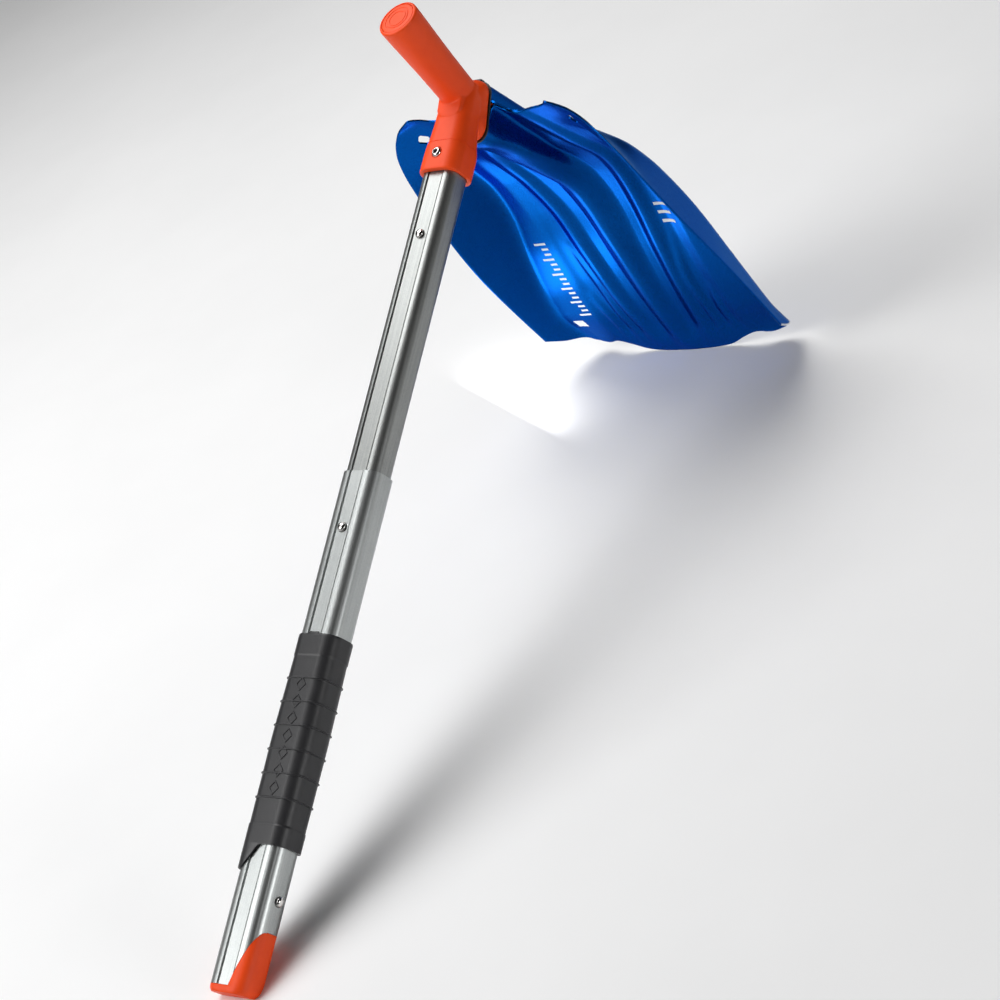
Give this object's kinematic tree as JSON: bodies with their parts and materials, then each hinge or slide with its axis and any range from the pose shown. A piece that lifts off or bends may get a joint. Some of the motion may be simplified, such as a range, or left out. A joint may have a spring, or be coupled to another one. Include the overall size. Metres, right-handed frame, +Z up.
{
  "type": "avalanche shovel",
  "caption": "Telescopic avalanche shovel in hoe mode: aluminium blade hooked on a T-grip head, oval two-section shaft with a rubber sleeve and snap buttons.",
  "frame": {"origin": "centre of the overall box in X and Y, on the floor that the foot and the blade's cutting edge stand on", "axes": "+X runs from the shaft's foot towards the blade, +Y across the blade, +Z up; the shaft leans 28 degrees above the floor"},
  "size_m": [0.7698, 0.2524, 0.4381],
  "materials": {
    "blue_anodised": "satin blue anodised sheet",
    "silver_anodised": "satin clear anodised, drawn along the tube",
    "grey_anodised": "satin grey anodised, drawn along the tube",
    "orange_plastic": "fine moulded texture, moderately glossy",
    "black_plastic": "matte moulded plastic",
    "black_rubber": "soft matte rubber with thin raised rings",
    "chrome": "bright plated",
    "rivet": "bright blind rivet",
    "steel": "bright stainless steel"
  },
  "bodies": {
    "lower_shaft": {"outer_tube": "silver_anodised", "grip_sleeve": "black_rubber", "end_plug": "orange_plastic", "blade_lock_spring": "steel"},
    "upper_shaft": {"inner_tube": "grey_anodised", "slide_guide": "black_plastic", "handle_body": "orange_plastic", "grip_end_cap": "orange_plastic", "handle_screw": "chrome", "handle_barrel_nut": "steel", "extension_spring": "steel", "storage_spring": "steel", "head_spring": "steel"},
    "blade_unit": {"blade": "blue_anodised", "neck_plate": "blue_anodised", "neck_rivet_1": "rivet", "neck_rivet_2": "rivet", "neck_rivet_3": "rivet", "neck_rivet_4": "rivet", "socket_collar": "black_plastic"},
    "extension_snap": {"extension_button": "steel"},
    "storage_snap": {"storage_button": "steel"},
    "head_snap": {"head_button": "steel"},
    "blade_lock_snap": {"blade_lock_button": "steel"}
  },
  "joints": [
    {"name": "telescope", "type": "slide", "parent": "lower_shaft", "child": "upper_shaft", "axis": [-0.8809, 0, -0.4733], "range_m": [0, 0.2435], "deforming": ["extension_button", "storage_button"]},
    {"name": "blade_release", "type": "slide", "parent": "upper_shaft", "child": "blade_unit", "axis": [0.5814, 0, -0.8136], "range_m": [0, 0.065], "deforming": ["head_button"]},
    {"name": "extension_press", "type": "slide", "parent": "upper_shaft", "child": "extension_snap", "axis": [0.4733, 0, -0.8809], "range_m": [0, 0.0038], "stiffness_N_per_m": 600, "springref_m": -0.004, "deforming": ["extension_spring"]},
    {"name": "storage_press", "type": "slide", "parent": "upper_shaft", "child": "storage_snap", "axis": [0.4733, 0, -0.8809], "range_m": [0, 0.0038], "stiffness_N_per_m": 600, "springref_m": -0.004, "deforming": ["storage_spring"]},
    {"name": "head_press", "type": "slide", "parent": "upper_shaft", "child": "head_snap", "axis": [-0.8136, 0, -0.5814], "range_m": [0, 0.0038], "stiffness_N_per_m": 600, "springref_m": -0.004, "deforming": ["head_spring"]},
    {"name": "blade_lock_press", "type": "slide", "parent": "lower_shaft", "child": "blade_lock_snap", "axis": [0, 1, 0], "range_m": [0, 0.0038], "stiffness_N_per_m": 600, "springref_m": -0.004, "deforming": ["blade_lock_spring"]}
  ]
}
